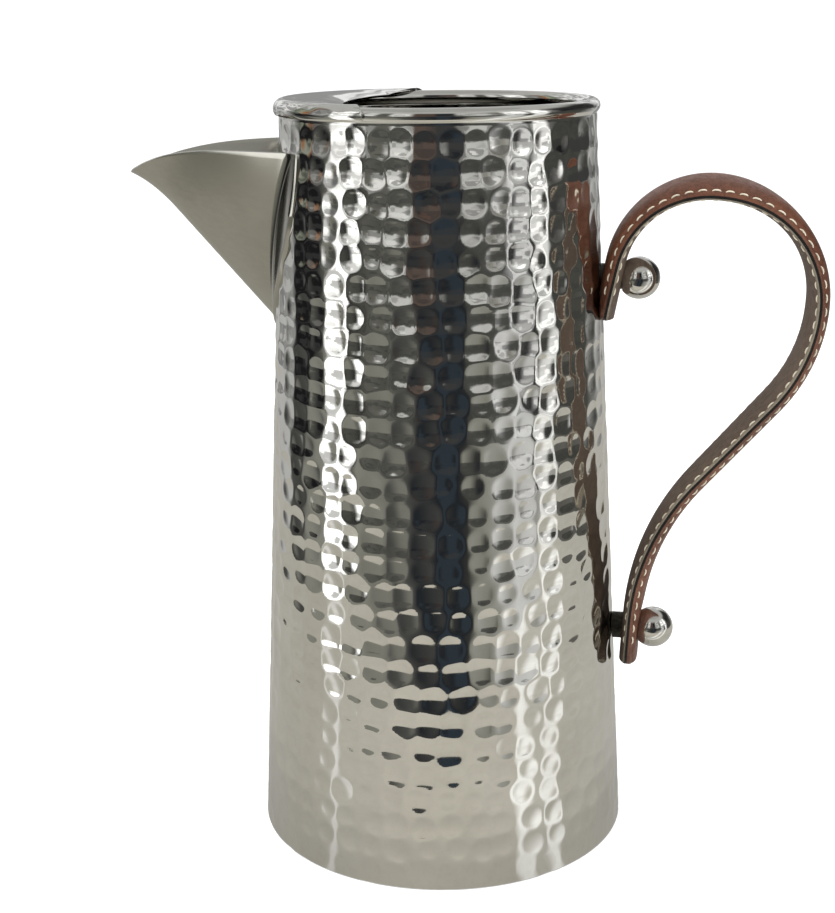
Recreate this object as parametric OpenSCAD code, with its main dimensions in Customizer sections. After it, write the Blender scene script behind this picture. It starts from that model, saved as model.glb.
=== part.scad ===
// Tall hammered steel water jug with a beaked spout, an ice guard and a leather covered strap
// handle. Origin: centre of the flat underside. +Z up, the handle points to +X, the spout to -X.

/* [Body] */
// Height to the top of the rolled rim
jug_h = 250; // [180:1:320]
// Outside radius of the wall where it stands
base_r = 63.7; // [50:0.1:80]
// Outside radius of the wall where the rim is rolled
neck_r = 51.3; // [40:0.1:65]
// Thickness of the body sheet
wall_t = 1; // [0.6:0.1:1.6]
// Outside radius of the rolled rim's round section
roll_r = 2.4; // [1.8:0.1:3.2]
// Radius of the wire inside the rolled rim
rim_wire_r = 1.3; // [0.6:0.1:1.5]
// Width of the slit where the rolled edge comes back to the wall
roll_slit = 0.5; // [0.3:0.1:1]
// Thickness of the base disc
base_t = 1.2; // [0.8:0.1:2.5]
// Height of the base disc's upturned welding flange
base_flange_h = 5; // [3:0.5:12]

/* [Ice guard] */
// Thickness of the guard sheet
guard_t = 0.8; // [0.5:0.1:1.5]
// How far the guard's inner edge stands from the jug's axis
guard_edge_x = 29; // [20:0.5:38]
// Radius of the guard's hollow inner edge
guard_edge_r = 91.5; // [60:0.5:140]
// How far the guard wraps down the outside of the rim, in degrees below level
guard_wrap = 35; // [10:1:60]

/* [Spout] */
// Distance from the jug's axis to the tip of the spout
spout_reach = 106; // [88:0.5:125]
// How far the spout's level edge stands below the rim
spout_drop = 15; // [10:0.5:40]
// How far the tip dips below the level edge
tip_dip = 9.5; // [4:0.5:16]
// Height of the spout at the wall, from its lowest point to its level edge
spout_depth = 60; // [45:0.5:75]
// Half width of the spout's mouth where it leaves the wall
spout_half_w = 31.5; // [22:0.5:34]
// Rise of the keel for each millimetre outwards
keel_slope = 1.1; // [0.8:0.05:1.2]
// Thickness of the spout sheet
spout_t = 1; // [0.7:0.1:1.6]
// Half width of the smooth flange welded to the wall
flange_half_w = 36.3; // [34.5:0.1:38]
// Thickness of the flange
flange_t = 0.8; // [0.5:0.1:1.4]
// Half width of the opening cut in the wall behind the spout
opening_half_w = 23; // [15:0.5:26]

/* [Handle] */
// Height of the upper post
upper_post_z = 192.8; // [150:0.1:205]
// Height of the lower post
lower_post_z = 71.7; // [40:0.1:110]
// Space between wall and strap at the upper post
upper_gap = 1.6; // [1:0.1:6]
// Space between wall and strap at the lower post
lower_gap = 3.3; // [1:0.1:6]
// Lean of the strap at the upper post, in degrees
upper_lean = 11; // [6:0.5:16]
// Lean of the strap at the lower post, in degrees
lower_lean = 3.5; // [1:0.5:6]
// Straight run of the strap above the upper post
upper_rise = 5.5; // [5.5:0.5:12]
// Straight run of the strap above the lower post
lower_rise = 5.5; // [5.5:0.5:12]
// Length of the upper tail below its post
upper_tail = 14; // [10:0.5:18]
// Length of the lower tail below its post
lower_tail = 12.5; // [10:0.5:18]
// Radius of the shoulder bend above the upper post
shoulder_r = 29.3; // [20:0.1:36]
// Radius of the bow at the far end of the loop
bow_r = 34.4; // [28:0.1:44]
// Length of the straight run in the lower half of the loop
run_len = 36; // [10:0.5:50]
// Radius of the reverse bend into the lower post over that of the bend under the bow
bend_ratio = 1.6; // [1.2:0.05:2.4]
// Width of the leather strap
strap_w = 24; // [20:0.5:28]
// Thickness of the strap in the middle of its width
strap_t = 5.2; // [4.4:0.1:7]
// Thickness of the strap at its edges
strap_edge_t = 2.4; // [2:0.1:3]
// Corner radius of the leather's ends
leather_corner_r = 9; // [4:0.5:9.5]
// Width of the steel core inside the leather
core_w = 16; // [12:0.5:17]
// Thickness of the steel core
core_t = 2.2; // [1.6:0.1:3]
// Corner radius of the core's ends
core_corner_r = 5; // [1:0.5:5.5]
// How much shorter the core is than the leather at each end
core_setback = 5; // [3.5:0.5:6]
// Play between the core and the leather around it
pocket_play = 0.1; // [0.05:0.05:0.3]
// Gap at the seam between the two leather strips
seam_gap = 0.1; // [0.05:0.05:0.3]
// Distance of the stitching from the leather's edge
stitch_inset = 2.4; // [1.6:0.1:3.4]
// Distance from one stitch to the next
stitch_pitch = 4.2; // [3:0.1:6]
// Length of one stitch
stitch_len = 2.8; // [2:0.1:3.6]
// Radius of the thread
thread_r = 0.35; // [0.2:0.05:0.5]

/* [Posts] */
// Radius of the ball nuts
ball_r = 6.9; // [6:0.1:9]
// Height of a ball's centre above the strap's face
ball_lift = 5.3; // [4.5:0.1:6]
// Radius of the ball nut's neck where it passes through the leather
neck_nut_r = 3.8; // [3.4:0.1:4.2]
// Radius of the screw's shank
screw_r = 2; // [1.5:0.1:2.5]
// Play around the shank in the wall, seals, spacers and core
shank_play = 0.15; // [0.1:0.05:0.4]
// Radius of the screw's head inside the jug
head_r = 4.6; // [4:0.1:6]
// Height of the screw's domed head
head_h = 2.2; // [1.6:0.1:3]
// Width of the driver slot
slot_w = 1; // [0.6:0.1:1.6]
// Radius of the spacer between wall and strap
spacer_r = 4.5; // [4:0.1:5.4]
// Radius of the sealing washer
seal_r = 6; // [5:0.1:8]
// Thickness of the sealing washer at its thinnest
seal_t = 1; // [0.6:0.1:2]

/* [Hidden] */
$fn = 96;
steel = [0.78, 0.77, 0.74];
satin = [0.62, 0.61, 0.57];
tan_leather = [0.36, 0.17, 0.11];
grey_leather = [0.33, 0.27, 0.23];
thread_colour = [0.85, 0.8, 0.68];
rubber = [0.12, 0.12, 0.12];
fit = 0.05;                                  // play between pieces that are pressed or welded
past = 1;                                    // how far a cut runs past what it cuts
roll_z = jug_h - roll_r;                     // height of the rolled rim's centre
roll_set_in = 0.8;                           // how far the roll's centre stands inside the wall's middle
roll_ring_r = neck_r - wall_t / 2 - roll_set_in; // radius of the ring that the roll follows
slit_drop = 0.6;                             // how far the roll's slit lies under its centre

// Outside radius of the wall at height z
function wall_r(z) = base_r + (neck_r - base_r) * z / roll_z;

// Solid cone of the body, grown by the distance out
module body_cone(out) {
    wall_lean = atan((base_r - neck_r) / roll_z);
    grow = out / cos(wall_lean);
    translate([0, 0, -past])
        cylinder(r1 = wall_r(-past) + grow, r2 = wall_r(jug_h + past) + grow, h = jug_h + 2 * past,
            $fn = 256);
}

// ---- Outlines on the spout side, half width at height z, with y = 0 on the jug's middle plane

spout_top_z = jug_h - spout_drop;            // the spout's level edge
spout_low_z = spout_top_z - spout_depth;     // where the keel meets the wall
outline_steps = 28;

// Half width, as a share of the widest, at a depth from 0 at the top to 1 at the lowest point
function shield(depth) = pow(max(0, 1 - pow(depth, 2.2)), 0.7);
// Steps of depth, closer together near the lowest point
function depth_at(i) = 1 - pow(1 - i / outline_steps, 2);

// Shield outline with x across the jug and y up
module shield_outline(half_w, top_z, low_z) {
    side = [for (i = [0:outline_steps])
        [half_w * shield(depth_at(i)), top_z - (top_z - low_z) * depth_at(i)]];
    other = [for (i = [outline_steps - 1:-1:0]) [-side[i].x, side[i].y]];
    polygon(concat(side, other));
}

// The outline pushed through the jug's wall on the spout side
module shield_prism(half_w, top_z, low_z) {
    rotate([90, 0, -90])
        linear_extrude(base_r + 2 * past)
            shield_outline(half_w, top_z, low_z);
}

// ---- Body

module roll_section() {
    difference() {
        circle(r = roll_r);
        circle(r = roll_r - wall_t * 0.8);
        // slit under the roll, on its inner side
        translate([-roll_r, -roll_slit - slit_drop])
            square([roll_r, roll_slit]);
    }
}

module post_bore(z) {
    translate([0, 0, z])
        rotate([0, 90, 0])
            cylinder(r = screw_r + shank_play, h = base_r + past);
}

module body_shell() {
    top = roll_z - sqrt(pow(roll_r, 2) - pow(roll_set_in, 2)) + 0.4;
    color(steel)
    difference() {
        union() {
            rotate_extrude()
                polygon([[wall_r(0) - wall_t, 0], [wall_r(0), 0],
                    [wall_r(top), top], [wall_r(top) - wall_t, top]]);
            rotate_extrude()
                translate([roll_ring_r, roll_z])
                    roll_section();
        }
        shield_prism(opening_half_w, spout_top_z - 3, spout_low_z + 8);
        post_bore(upper_post_z);
        post_bore(lower_post_z);
    }
}

module base_plate() {
    inner_low = wall_r(0) - wall_t - fit;
    inner_high = wall_r(base_flange_h) - wall_t - fit;
    color(satin)
    rotate_extrude()
        polygon([[0, 0], [inner_low, 0], [inner_high, base_flange_h],
            [inner_high - base_t, base_flange_h], [inner_low - base_t, base_t], [0, base_t]]);
}

module rim_wire() {
    color(satin)
    rotate_extrude()
        translate([roll_ring_r, roll_z])
            circle(r = rim_wire_r);
}

// ---- Ice guard, a sheet lying on the rim and wrapped over its outside

module guard_plan() {
    difference() {
        translate([-2 * neck_r, -2 * neck_r])
            square([2 * neck_r, 4 * neck_r]);
        translate([guard_edge_r - guard_edge_x, 0])
            circle(r = guard_edge_r);
    }
}

// Section of the guard sheet over the rim: a flat inner part and a wrap round the roll
module guard_section() {
    wrap_in = roll_r + fit;
    wrap_out = wrap_in + guard_t;
    translate([0, roll_z + wrap_in])
        square([roll_ring_r, guard_t]);
    translate([roll_ring_r, roll_z])
        intersection() {
            difference() {
                circle(r = wrap_out);
                circle(r = wrap_in);
            }
            union() {
                square([wrap_out, wrap_out]);
                rotate(-guard_wrap)
                    square([wrap_out, wrap_out]);
            }
        }
}

module ice_guard() {
    color(steel)
    intersection() {
        rotate_extrude()
            guard_section();
        translate([0, 0, roll_z - 2 * roll_r])
            linear_extrude(4 * roll_r + 2 * guard_t)
                guard_plan();
    }
}

// ---- Spout, a beaked channel with a rounded keel, welded over the opening in the wall

mouth_x = 46;                                // distance from the axis where the half width is given
root_x = 38;                                 // the channel is built from here, inside the wall
beak_x = spout_reach - 16;                   // the keel is straight up to here
spout_steps = 20;
across_steps = 22;
keel_round = 0.3;                            // roundness of the keel, as a share of the half width

function along(s, reach) = (s - mouth_x) / (reach - mouth_x);
function spout_w(s, reach) = spout_half_w * pow(max(0, 1 - along(s, reach)), 0.68);
function edge_z(s) = spout_top_z - tip_dip * pow(max(0, along(s, spout_reach)), 3.7);
function keel_line_z(s) = spout_low_z + keel_slope * (s - wall_r(spout_low_z));
// The keel's straight line, bent down over the beak to meet the edge at the tip
function keel_z(s) =
    let (bend = pow(max(0, s - beak_x) / (spout_reach - beak_x), 2))
    keel_line_z(s) + bend * (edge_z(spout_reach) - keel_line_z(spout_reach));
// Height across the channel from 0 at the keel to 1 at the edges, like a rounded V
function across(a) =
    (sqrt(a * a + keel_round * keel_round) - keel_round) / (sqrt(1 + keel_round * keel_round) - keel_round);

// One section of the channel at distance s: points [across the jug, up], with a lid at height lid_z
function channel_section(s, reach, inset, lift, lid_z) =
    let (w = max(0.1, spout_w(s, reach) - inset), low = keel_z(s) + lift, high = edge_z(s) + 0.01)
    concat(
        [for (j = [0:across_steps])
            let (a = 2 * j / across_steps - 1)
            [w * a, low + max(0.02, high - low) * across(abs(a))]],
        [[w, max(high, low) + 0.05 + lid_z], [-w, max(high, low) + 0.05 + lid_z]]);

module channel(reach, inset, lift, lid_z) {
    ring = across_steps + 3;
    last_x = reach - 0.15;
    points = [for (i = [0:spout_steps])
        let (s = root_x + (last_x - root_x) * (1 - pow(1 - i / spout_steps, 1.6)))
        for (p = channel_section(s, reach, inset, lift, lid_z)) [-s, p.x, p.y]];
    sides = [for (i = [0:spout_steps - 1], j = [0:ring - 1])
        let (a = i * ring + j, b = i * ring + (j + 1) % ring)
        each [[a, b, b + ring], [a, b + ring, a + ring]]];
    first = [for (j = [ring - 1:-1:0]) j];
    end = [for (j = [0:ring - 1]) spout_steps * ring + j];
    polyhedron(points, concat(sides, [first, end]), convexity = 6);
}

module spout() {
    sheet_lift = spout_t * sqrt(1 + keel_slope * keel_slope);
    color(satin)
    difference() {
        union() {
            difference() {
                channel(spout_reach, 0, 0, 0);
                body_cone(fit);
            }
            intersection() {
                difference() {
                    body_cone(fit + flange_t);
                    body_cone(fit);
                }
                shield_prism(flange_half_w, spout_top_z, spout_low_z - 1);
            }
        }
        channel(spout_reach - 3 * spout_t, spout_t, sheet_lift, 2 * past);
    }
}

// ---- Handle route, from the end of the upper tail round the loop to the end of the lower tail.
// It lies in the jug's middle plane. A pose is [x, z, heading in degrees above +X], and a leg is
// [length, turn in degrees], where a turn of 0 is a straight run and a negative one turns right.

half_t = strap_t / 2;
upper_seat = [wall_r(upper_post_z) + upper_gap + half_t, upper_post_z];
lower_seat = [wall_r(lower_post_z) + lower_gap + half_t, lower_post_z];
up_heading = 90 - upper_lean;
down_heading = -90 - lower_lean;

function ahead(p, heading, len) = [p.x + len * cos(heading), p.y + len * sin(heading)];
function arc_len(r, turn) = r * PI * abs(turn) / 180;
function advance(pose, leg) =
    let (h = pose[2], len = leg[0], turn = leg[1])
    turn == 0
        ? [pose[0] + len * cos(h), pose[1] + len * sin(h), h]
        : let (r = len * 180 / PI / turn)
          [pose[0] + r * (sin(h + turn) - sin(h)), pose[1] - r * (cos(h + turn) - cos(h)), h + turn];

start = ahead(upper_seat, up_heading, -upper_tail);
start_pose = [start.x, start.y, up_heading];
crest_pose = advance(advance(start_pose, [upper_tail + upper_rise, 0]),
    [arc_len(shoulder_r, up_heading), -up_heading]);
bow_pose = advance(crest_pose, [arc_len(bow_r, 90), -90]);
// The bend under the bow, the straight run and the reverse bend join the bow to the lower post.
// The run touches both bends' circles, which gives a quadratic for the first bend's radius.
sweep_end = ahead(lower_seat, down_heading, -lower_rise);
drop = sweep_end - [bow_pose[0], bow_pose[1]];
spread = [1, 0] + bend_ratio * [-sin(down_heading), cos(down_heading)];
quad_a = spread * spread - pow(1 + bend_ratio, 2);
quad_b = 2 * drop * spread;
quad_c = drop * drop - run_len * run_len;
flank_r = 2 * quad_c / (sqrt(quad_b * quad_b - 4 * quad_a * quad_c) - quad_b);
sweep_r = bend_ratio * flank_r;
between = drop + flank_r * spread;
run_heading = atan2(between.y, between.x) - asin((flank_r + sweep_r) / norm(between));

legs = [
    [upper_tail + upper_rise, 0],
    [arc_len(shoulder_r, up_heading), -up_heading],
    [arc_len(bow_r, 90), -90],
    [arc_len(flank_r, run_heading + 90), run_heading + 90],
    [run_len, 0],
    [arc_len(sweep_r, down_heading - run_heading), down_heading - run_heading],
    [lower_rise + lower_tail, 0]];
function pose_after(n) = n == 0 ? start_pose : advance(pose_after(n - 1), legs[n - 1]);
strap_poses = [for (n = [0:len(legs)]) pose_after(n)];
last_leg = len(legs) - 1;

function leg_start(n) = n == 0 ? 0 : leg_start(n - 1) + legs[n - 1][0];
route_len = leg_start(len(legs));
// Pose on the route at distance s from its start
function pose_at(s, n = 0) =
    n < last_leg && s > leg_start(n + 1)
        ? pose_at(s, n + 1)
        : let (share = (s - leg_start(n)) / legs[n][0])
          advance(strap_poses[n], [legs[n][0] * share, legs[n][1] * share]);
// Point u in front of the route towards the strap's outer face, and y across the strap
function off_route(pose, u, y) = [pose[0] - u * sin(pose[2]), y, pose[1] + u * cos(pose[2])];

bend_step = 5;                               // degrees between stations in a bend
straight_steps = 3;
corner_steps = 7;
// Distances of the stations between the two ends' rounded corners
function middle_stations(first, last) =
    [for (n = [0:last_leg])
        let (steps = legs[n][1] == 0 ? straight_steps : ceil(abs(legs[n][1]) / bend_step))
        for (k = [1:steps])
            let (s = leg_start(n) + legs[n][0] * k / steps)
            if (s > first + 0.5 && s < last - 0.5) s];
// Distances of the stations round a corner, from the end of the strip
function corner_marks(corner_r) =
    [for (k = [0:corner_steps]) corner_r * (1 - cos(90 * k / corner_steps))];
// All stations of a strip that is shortened by cut and has the given marks at both ends
function stations(cut, marks) =
    let (last = len(marks) - 1, end = route_len - cut)
    concat([for (mark = marks) cut + mark],
        middle_stations(cut + marks[last], end - marks[last]),
        [for (k = [last:-1:0]) end - marks[k]]);
// Half width at distance s, narrowed round the corners
function half_w_at(s, cut, half_w, corner_r) =
    let (d = min(corner_r, s - cut, route_len - cut - s))
    half_w - corner_r + sqrt(max(0, pow(corner_r, 2) - pow(corner_r - d, 2)));

// Skins a row of rings into one closed solid. A ring holds the points of its one face across the
// strap, then as many of its other face, back again.
function quad(a, b, c, d) = [[a, b, c], [a, c, d]];
module skin(rings) {
    n = len(rings[0]);
    last = n * (len(rings) - 1);
    sides = [for (i = [0:n:last - n], j = [0:n - 1])
        let (a = i + j, b = i + (j + 1) % n)
        each quad(a, b, b + n, a + n)];
    caps = [for (j = [0:n / 2 - 2])
        let (k = n - 1 - j)
        each concat(quad(k, k - 1, j + 1, j), quad(last + j, last + j + 1, last + k - 1, last + k))];
    polyhedron([for (ring = rings) each ring], concat(sides, caps), convexity = 8);
}

// A flat bar along the route, t thick and rounded at its corners in plan
module flat_bar(t, half_w, corner_r, cut) {
    skin([for (s = stations(cut, corner_marks(corner_r)))
        let (pose = pose_at(s), w = half_w_at(s, cut, half_w, corner_r))
        [off_route(pose, t / 2, -w), off_route(pose, t / 2, w),
            off_route(pose, -t / 2, w), off_route(pose, -t / 2, -w)]]);
}

// A round bar or cut along the axis of a post, from x = from to x = to
module post_bar(seat, r, from, to) {
    translate([from, 0, seat.y])
        rotate([0, 90, 0])
            cylinder(r = r, h = to - from);
}

module post_holes(r) {
    for (seat = [upper_seat, lower_seat])
        post_bar(seat, r, seat.x - 4 * half_t, seat.x + 4 * half_t);
}

crown = half_t - strap_edge_t / 2;           // how much thicker a strip is in the middle
crown_r = (pow(strap_w / 2, 2) + crown * crown) / (2 * crown);
// Distance of the crowned face from the strap's middle, at y across the strap
function face_u(y) = half_t - crown_r + sqrt(crown_r * crown_r - y * y);

pocket_steps = 3;
pocket_slope = 0.1;                          // how much wider the core's pocket is at its mouth
pocket_from = core_setback - pocket_play;    // where the pocket starts, from the leather's end
pocket_step = 0.4;                           // length of the slope at the pocket's end

// Places across a strip of half width w, from its middle to its edge, as [y, 1 inside the pocket]
function half_across(w) =
    let (pocket_w = min(core_w / 2 + pocket_play, w - 1), mouth_w = pocket_w + pocket_slope)
    concat([for (k = [0:pocket_steps]) [pocket_w * k / pocket_steps, 1]],
        [[mouth_w, 0], [(mouth_w + w) / 2, 0], [w, 0]]);
function full_across(w) =
    let (half = half_across(w), last = len(half) - 1)
    concat([for (k = [last:-1:1]) [-half[k].x, half[k].y]], half);
// The corner's marks with the pocket's end among them
function strip_marks() =
    let (marks = corner_marks(leather_corner_r))
    concat([for (mark = marks) if (mark < pocket_from - 1.5 * pocket_step) mark],
        [pocket_from - pocket_step, pocket_from],
        [for (mark = marks) if (mark > pocket_from + pocket_step / 2) mark]);
// Distance of the pocket's floor from the strap's middle: the core's room, or beyond it the seam's
function floor_u(s) =
    let (from_end = min(s, route_len - s))
    from_end > pocket_from - pocket_step / 2 ? core_t / 2 + pocket_play : seam_gap / 2 + fit;
// How far the upper tail's face may stand off the route before it meets the wall
function wall_room(pose, y) =
    pose[2] > 45 ? (pose[0] - sqrt(pow(wall_r(pose[1]), 2) - y * y) - 4 * fit) / sin(pose[2]) : strap_t;

// One leather strip: a crowned face and a flat seam with the core's pocket in it. Side 1 is the
// outer strip, whose upper tail is pressed against the wall, and -1 is the inner one.
function strip_ring(s, side) =
    let (pose = pose_at(s),
        places = full_across(half_w_at(s, 0, strap_w / 2, leather_corner_r)),
        last = len(places) - 1)
    concat(
        [for (p = places)
            let (room = side > 0 ? wall_room(pose, p.x) : strap_t)
            off_route(pose, side * min(face_u(p.x), room), side * p.x)],
        [for (k = [last:-1:0])
            let (p = places[k])
            off_route(pose, side * (p.y == 1 ? floor_u(s) : seam_gap / 2), side * p.x)]);

module leather_strip(side) {
    difference() {
        skin([for (s = stations(0, strip_marks())) strip_ring(s, side)]);
        post_holes(max(spacer_r, neck_nut_r) + shank_play);
    }
}

module leather_outer() {
    color(tan_leather)
    leather_strip(1);
}

module leather_inner() {
    color(grey_leather)
    leather_strip(-1);
}

module handle_core() {
    color(satin)
    difference() {
        flat_bar(core_t, core_w / 2, core_corner_r, core_setback);
        post_holes(screw_r + shank_play);
    }
}

// Moves what is drawn along +X, with +Y towards the strap's outer face, to a pose on the route
module at_pose(pose) {
    rotate([90, 0, 0])
        translate([pose[0], pose[1], 0])
            rotate(pose[2])
                children();
}

// ---- Stitching, one stitch per pitch on both faces, along one edge

module stitch(u, y) {
    translate([-stitch_len / 2, u, y])
        rotate([0, 90, 0])
            cylinder(r = thread_r, h = stitch_len, $fn = 16);
}

module stitch_row(y) {
    lift = thread_r + fit;
    slope = asin(y / crown_r);
    u = face_u(y) + lift * cos(slope);
    out_y = y + lift * sin(slope);
    run = route_len - 2 * leather_corner_r;
    count = floor(run / stitch_pitch);
    for (k = [0:count - 1])
        at_pose(pose_at(leather_corner_r + (k + 0.5) * run / count)) {
            stitch(u, out_y);
            stitch(-u, out_y);
        }
}

stitch_y = strap_w / 2 - stitch_inset;

module stitching_front() {
    color(thread_colour)
    difference() {
        stitch_row(stitch_y);
        body_cone(4 * fit);
    }
}

module stitching_back() {
    color(thread_colour)
    difference() {
        stitch_row(-stitch_y);
        body_cone(4 * fit);
    }
}

// ---- Posts: a screw from inside, a seal, a spacer and a ball nut clamp the core to the wall

// Distance of the wall's inside from the axis at a post, at the edge of a washer of radius r
function seat_in(z, r) = sqrt(pow(wall_r(z + r) - wall_t - 2 * fit, 2) - r * r);
function head_x(z) = seat_in(z, seal_r) - seal_t;

core_gap = (core_t + fit) / 2;               // from the strap's middle to what bears on the core
leather_gap = half_t + fit;                  // from the strap's middle to what bears on the leather

// Everything beyond gap from the strap's middle, on its outer side (1) or its inner side (-1)
module strap_side(seat, heading, side, gap) {
    big = 40;
    at_pose([seat.x, seat.y, heading])
        translate([-big / 2, side > 0 ? gap : -big - gap, -big / 2])
            cube([big, big, big]);
}

module screw(seat, tip_x) {
    x = head_x(seat.y);
    dome_r = (pow(head_r, 2) + pow(head_h, 2)) / (2 * head_h);
    color(steel)
    difference() {
        union() {
            post_bar(seat, screw_r, x - head_h / 2, tip_x);
            intersection() {
                post_bar(seat, head_r, x - head_h, x);
                translate([x - head_h + dome_r, 0, seat.y])
                    sphere(r = dome_r);
            }
        }
        translate([x - head_h - past, -head_r - past, seat.y - slot_w / 2])
            cube([head_h / 2 + past, 2 * (head_r + past), slot_w]);
    }
}

module seal(seat) {
    color(rubber)
    intersection() {
        difference() {
            post_bar(seat, seal_r, head_x(seat.y) + fit, seat.x);
            post_bar(seat, screw_r + shank_play, 0, seat.x + past);
        }
        body_cone(-wall_t - fit);
    }
}

module spacer(seat, heading, wall_side) {
    color(steel)
    difference() {
        intersection() {
            post_bar(seat, spacer_r, seat.x - 3 * strap_t, seat.x + half_t);
            strap_side(seat, heading, wall_side, core_gap);
        }
        post_bar(seat, screw_r + shank_play, 0, seat.x + strap_t);
        body_cone(fit);
    }
}

function ball_x(seat) = seat.x + half_t + ball_lift;
bore_depth = 8;

// A ball faced flat where it bears on the leather, with a neck that reaches through to the core
module ball_nut(seat, heading, outer_side) {
    x = ball_x(seat);
    color(steel)
    difference() {
        union() {
            intersection() {
                translate([x, 0, seat.y])
                    rotate([0, 90, 0])
                        sphere(r = ball_r);
                strap_side(seat, heading, outer_side, leather_gap);
            }
            intersection() {
                post_bar(seat, neck_nut_r, seat.x - half_t, x);
                strap_side(seat, heading, outer_side, core_gap);
            }
        }
        post_bar(seat, screw_r + fit, 0, seat.x + half_t + bore_depth);
    }
}

screw_bite = bore_depth - 1;

module upper_screw() screw(upper_seat, upper_seat.x + half_t + screw_bite);
module lower_screw() screw(lower_seat, lower_seat.x + half_t + screw_bite);
module upper_seal() seal(upper_seat);
module lower_seal() seal(lower_seat);
// the strap's outer face looks at the wall at the upper post and away from it at the lower one
module upper_spacer() spacer(upper_seat, up_heading, 1);
module lower_spacer() spacer(lower_seat, down_heading, -1);
module upper_ball_nut() ball_nut(upper_seat, up_heading, -1);
module lower_ball_nut() ball_nut(lower_seat, down_heading, 1);

body_shell();
base_plate();
rim_wire();
ice_guard();
spout();
handle_core();
leather_outer();
leather_inner();
stitching_front();
stitching_back();
upper_screw();
lower_screw();
upper_seal();
lower_seal();
upper_spacer();
lower_spacer();
upper_ball_nut();
lower_ball_nut();
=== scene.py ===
import math

import bmesh
import bpy
import numpy as np
from mathutils import Matrix, Vector


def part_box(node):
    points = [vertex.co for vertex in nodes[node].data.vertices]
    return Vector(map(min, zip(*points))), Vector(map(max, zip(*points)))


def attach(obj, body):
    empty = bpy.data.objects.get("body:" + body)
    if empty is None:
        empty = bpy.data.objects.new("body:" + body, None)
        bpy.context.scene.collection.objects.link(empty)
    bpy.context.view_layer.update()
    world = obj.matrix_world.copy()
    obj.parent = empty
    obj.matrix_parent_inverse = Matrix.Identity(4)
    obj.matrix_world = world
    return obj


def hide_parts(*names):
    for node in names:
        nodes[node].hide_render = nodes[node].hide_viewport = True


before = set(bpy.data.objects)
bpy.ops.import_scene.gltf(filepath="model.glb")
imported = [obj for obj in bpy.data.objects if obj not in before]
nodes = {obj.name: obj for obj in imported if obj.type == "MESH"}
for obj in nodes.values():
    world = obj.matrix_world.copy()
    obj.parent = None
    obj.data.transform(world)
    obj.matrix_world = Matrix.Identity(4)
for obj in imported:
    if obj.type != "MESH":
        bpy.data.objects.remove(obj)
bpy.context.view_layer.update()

# ---- View
# The camera stands half a metre in front of the jug, a little above its rim, and looks down at
# the middle of the wall, with the spout on its left and the handle on its right.
view_place = (0.0927, -0.5258, 0.280)
view_turn, view_tilt, view_roll = (math.radians(a) for a in (-10.84, -15.73, -0.66))
view_ahead = Vector((math.sin(view_turn) * math.cos(view_tilt),
                     math.cos(view_turn) * math.cos(view_tilt), math.sin(view_tilt)))
level_right = Vector((math.cos(view_turn), -math.sin(view_turn), 0))
level_up = level_right.cross(view_ahead)
view_right = level_right * math.cos(view_roll) + level_up * math.sin(view_roll)
view_up = level_up * math.cos(view_roll) - level_right * math.sin(view_roll)
camera = bpy.data.objects.new("camera", bpy.data.cameras.new("camera"))
camera.data.lens = 63.64
camera.data.sensor_width = 36
camera.data.clip_start = 0.01
camera.matrix_world = (Matrix.Translation(view_place)
                       @ Matrix((view_right, view_up, -view_ahead)).transposed().to_4x4())
bpy.context.scene.collection.objects.link(camera)
bpy.context.scene.camera = camera
bpy.context.scene.view_settings.view_transform = "Standard"


# ---- Hammered wall
# The body is one sheet of polished steel, rolled outwards over a wire at the rim. Its wall is
# hammered in level rows of round dents, which meet in sharp ridges, and each row is struck
# without regard to the one above it.
MM = 0.001
wire_low, wire_high = (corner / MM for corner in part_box("rim_wire"))
shell_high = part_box("body_shell")[1] / MM
roll_z = (wire_low.z + wire_high.z) / 2
ring_r = wire_high.y - (wire_high.z - wire_low.z) / 2
roll_r = shell_high.z - roll_z
neck_flare, sheet_t = 1.3, 0.9
base_r, neck_r = shell_high.y, ring_r + neck_flare
wall_rows, wall_columns = 301, 420
dent_rows, dents_round, dent_pitch, first_dent_z, dent_fade = 28, 44, 8.7, 239.4, 1.5
dent_depth, dent_curve, ridge_round, ridge_reach = 0.44, (19, 27), 0.022, 6
row_shift, row_force, blow_force, stray_pitch, stray_z = 0.3, (0.9, 1.1), (0.6, 1.25), 0.1, 0.55
shield_belly, shield_taper = 2.2, 0.7
roll_inset, roll_overlap, roll_from, roll_to, roll_steps = 0.8, 0.98, -52, 250, 40


def wall_r(z):
    return base_r + (neck_r - base_r) * z / roll_z


def grid_piece(name, points, closed=False):
    """A smooth sheet over a grid of points in millimetres, closed round its columns or not."""
    rows, columns = points.shape[:2]
    index = np.arange(rows * columns).reshape(rows, columns)
    after = np.roll(index, -1, axis=1)
    if not closed:
        index, after = index[:, :-1], after[:, :-1]
    faces = np.stack([index[:-1], after[:-1], after[1:], index[1:]], axis=-1).reshape(-1, 4)
    return mesh_piece(name, points.reshape(-1, 3), faces.tolist())


def mesh_piece(name, points, faces):
    mesh = bpy.data.meshes.new(name)
    mesh.from_pydata((np.asarray(points) * MM).tolist(), [], faces)
    mesh.polygons.foreach_set("use_smooth", [True] * len(mesh.polygons))
    piece = bpy.data.objects.new(name, mesh)
    bpy.context.scene.collection.objects.link(piece)
    return piece


def thicken(piece, thickness, round_edge=0):
    """Gives a sheet its thickness inwards, with its cut edges eased by round_edge millimetres."""
    solid = piece.modifiers.new("thickness", "SOLIDIFY")
    solid.thickness = thickness * MM
    solid.offset = -1
    if round_edge:
        ease = piece.modifiers.new("eased edges", "BEVEL")
        ease.width = round_edge * MM
        ease.segments = 3
        ease.limit_method = "ANGLE"
        ease.angle_limit = math.radians(50)


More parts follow.
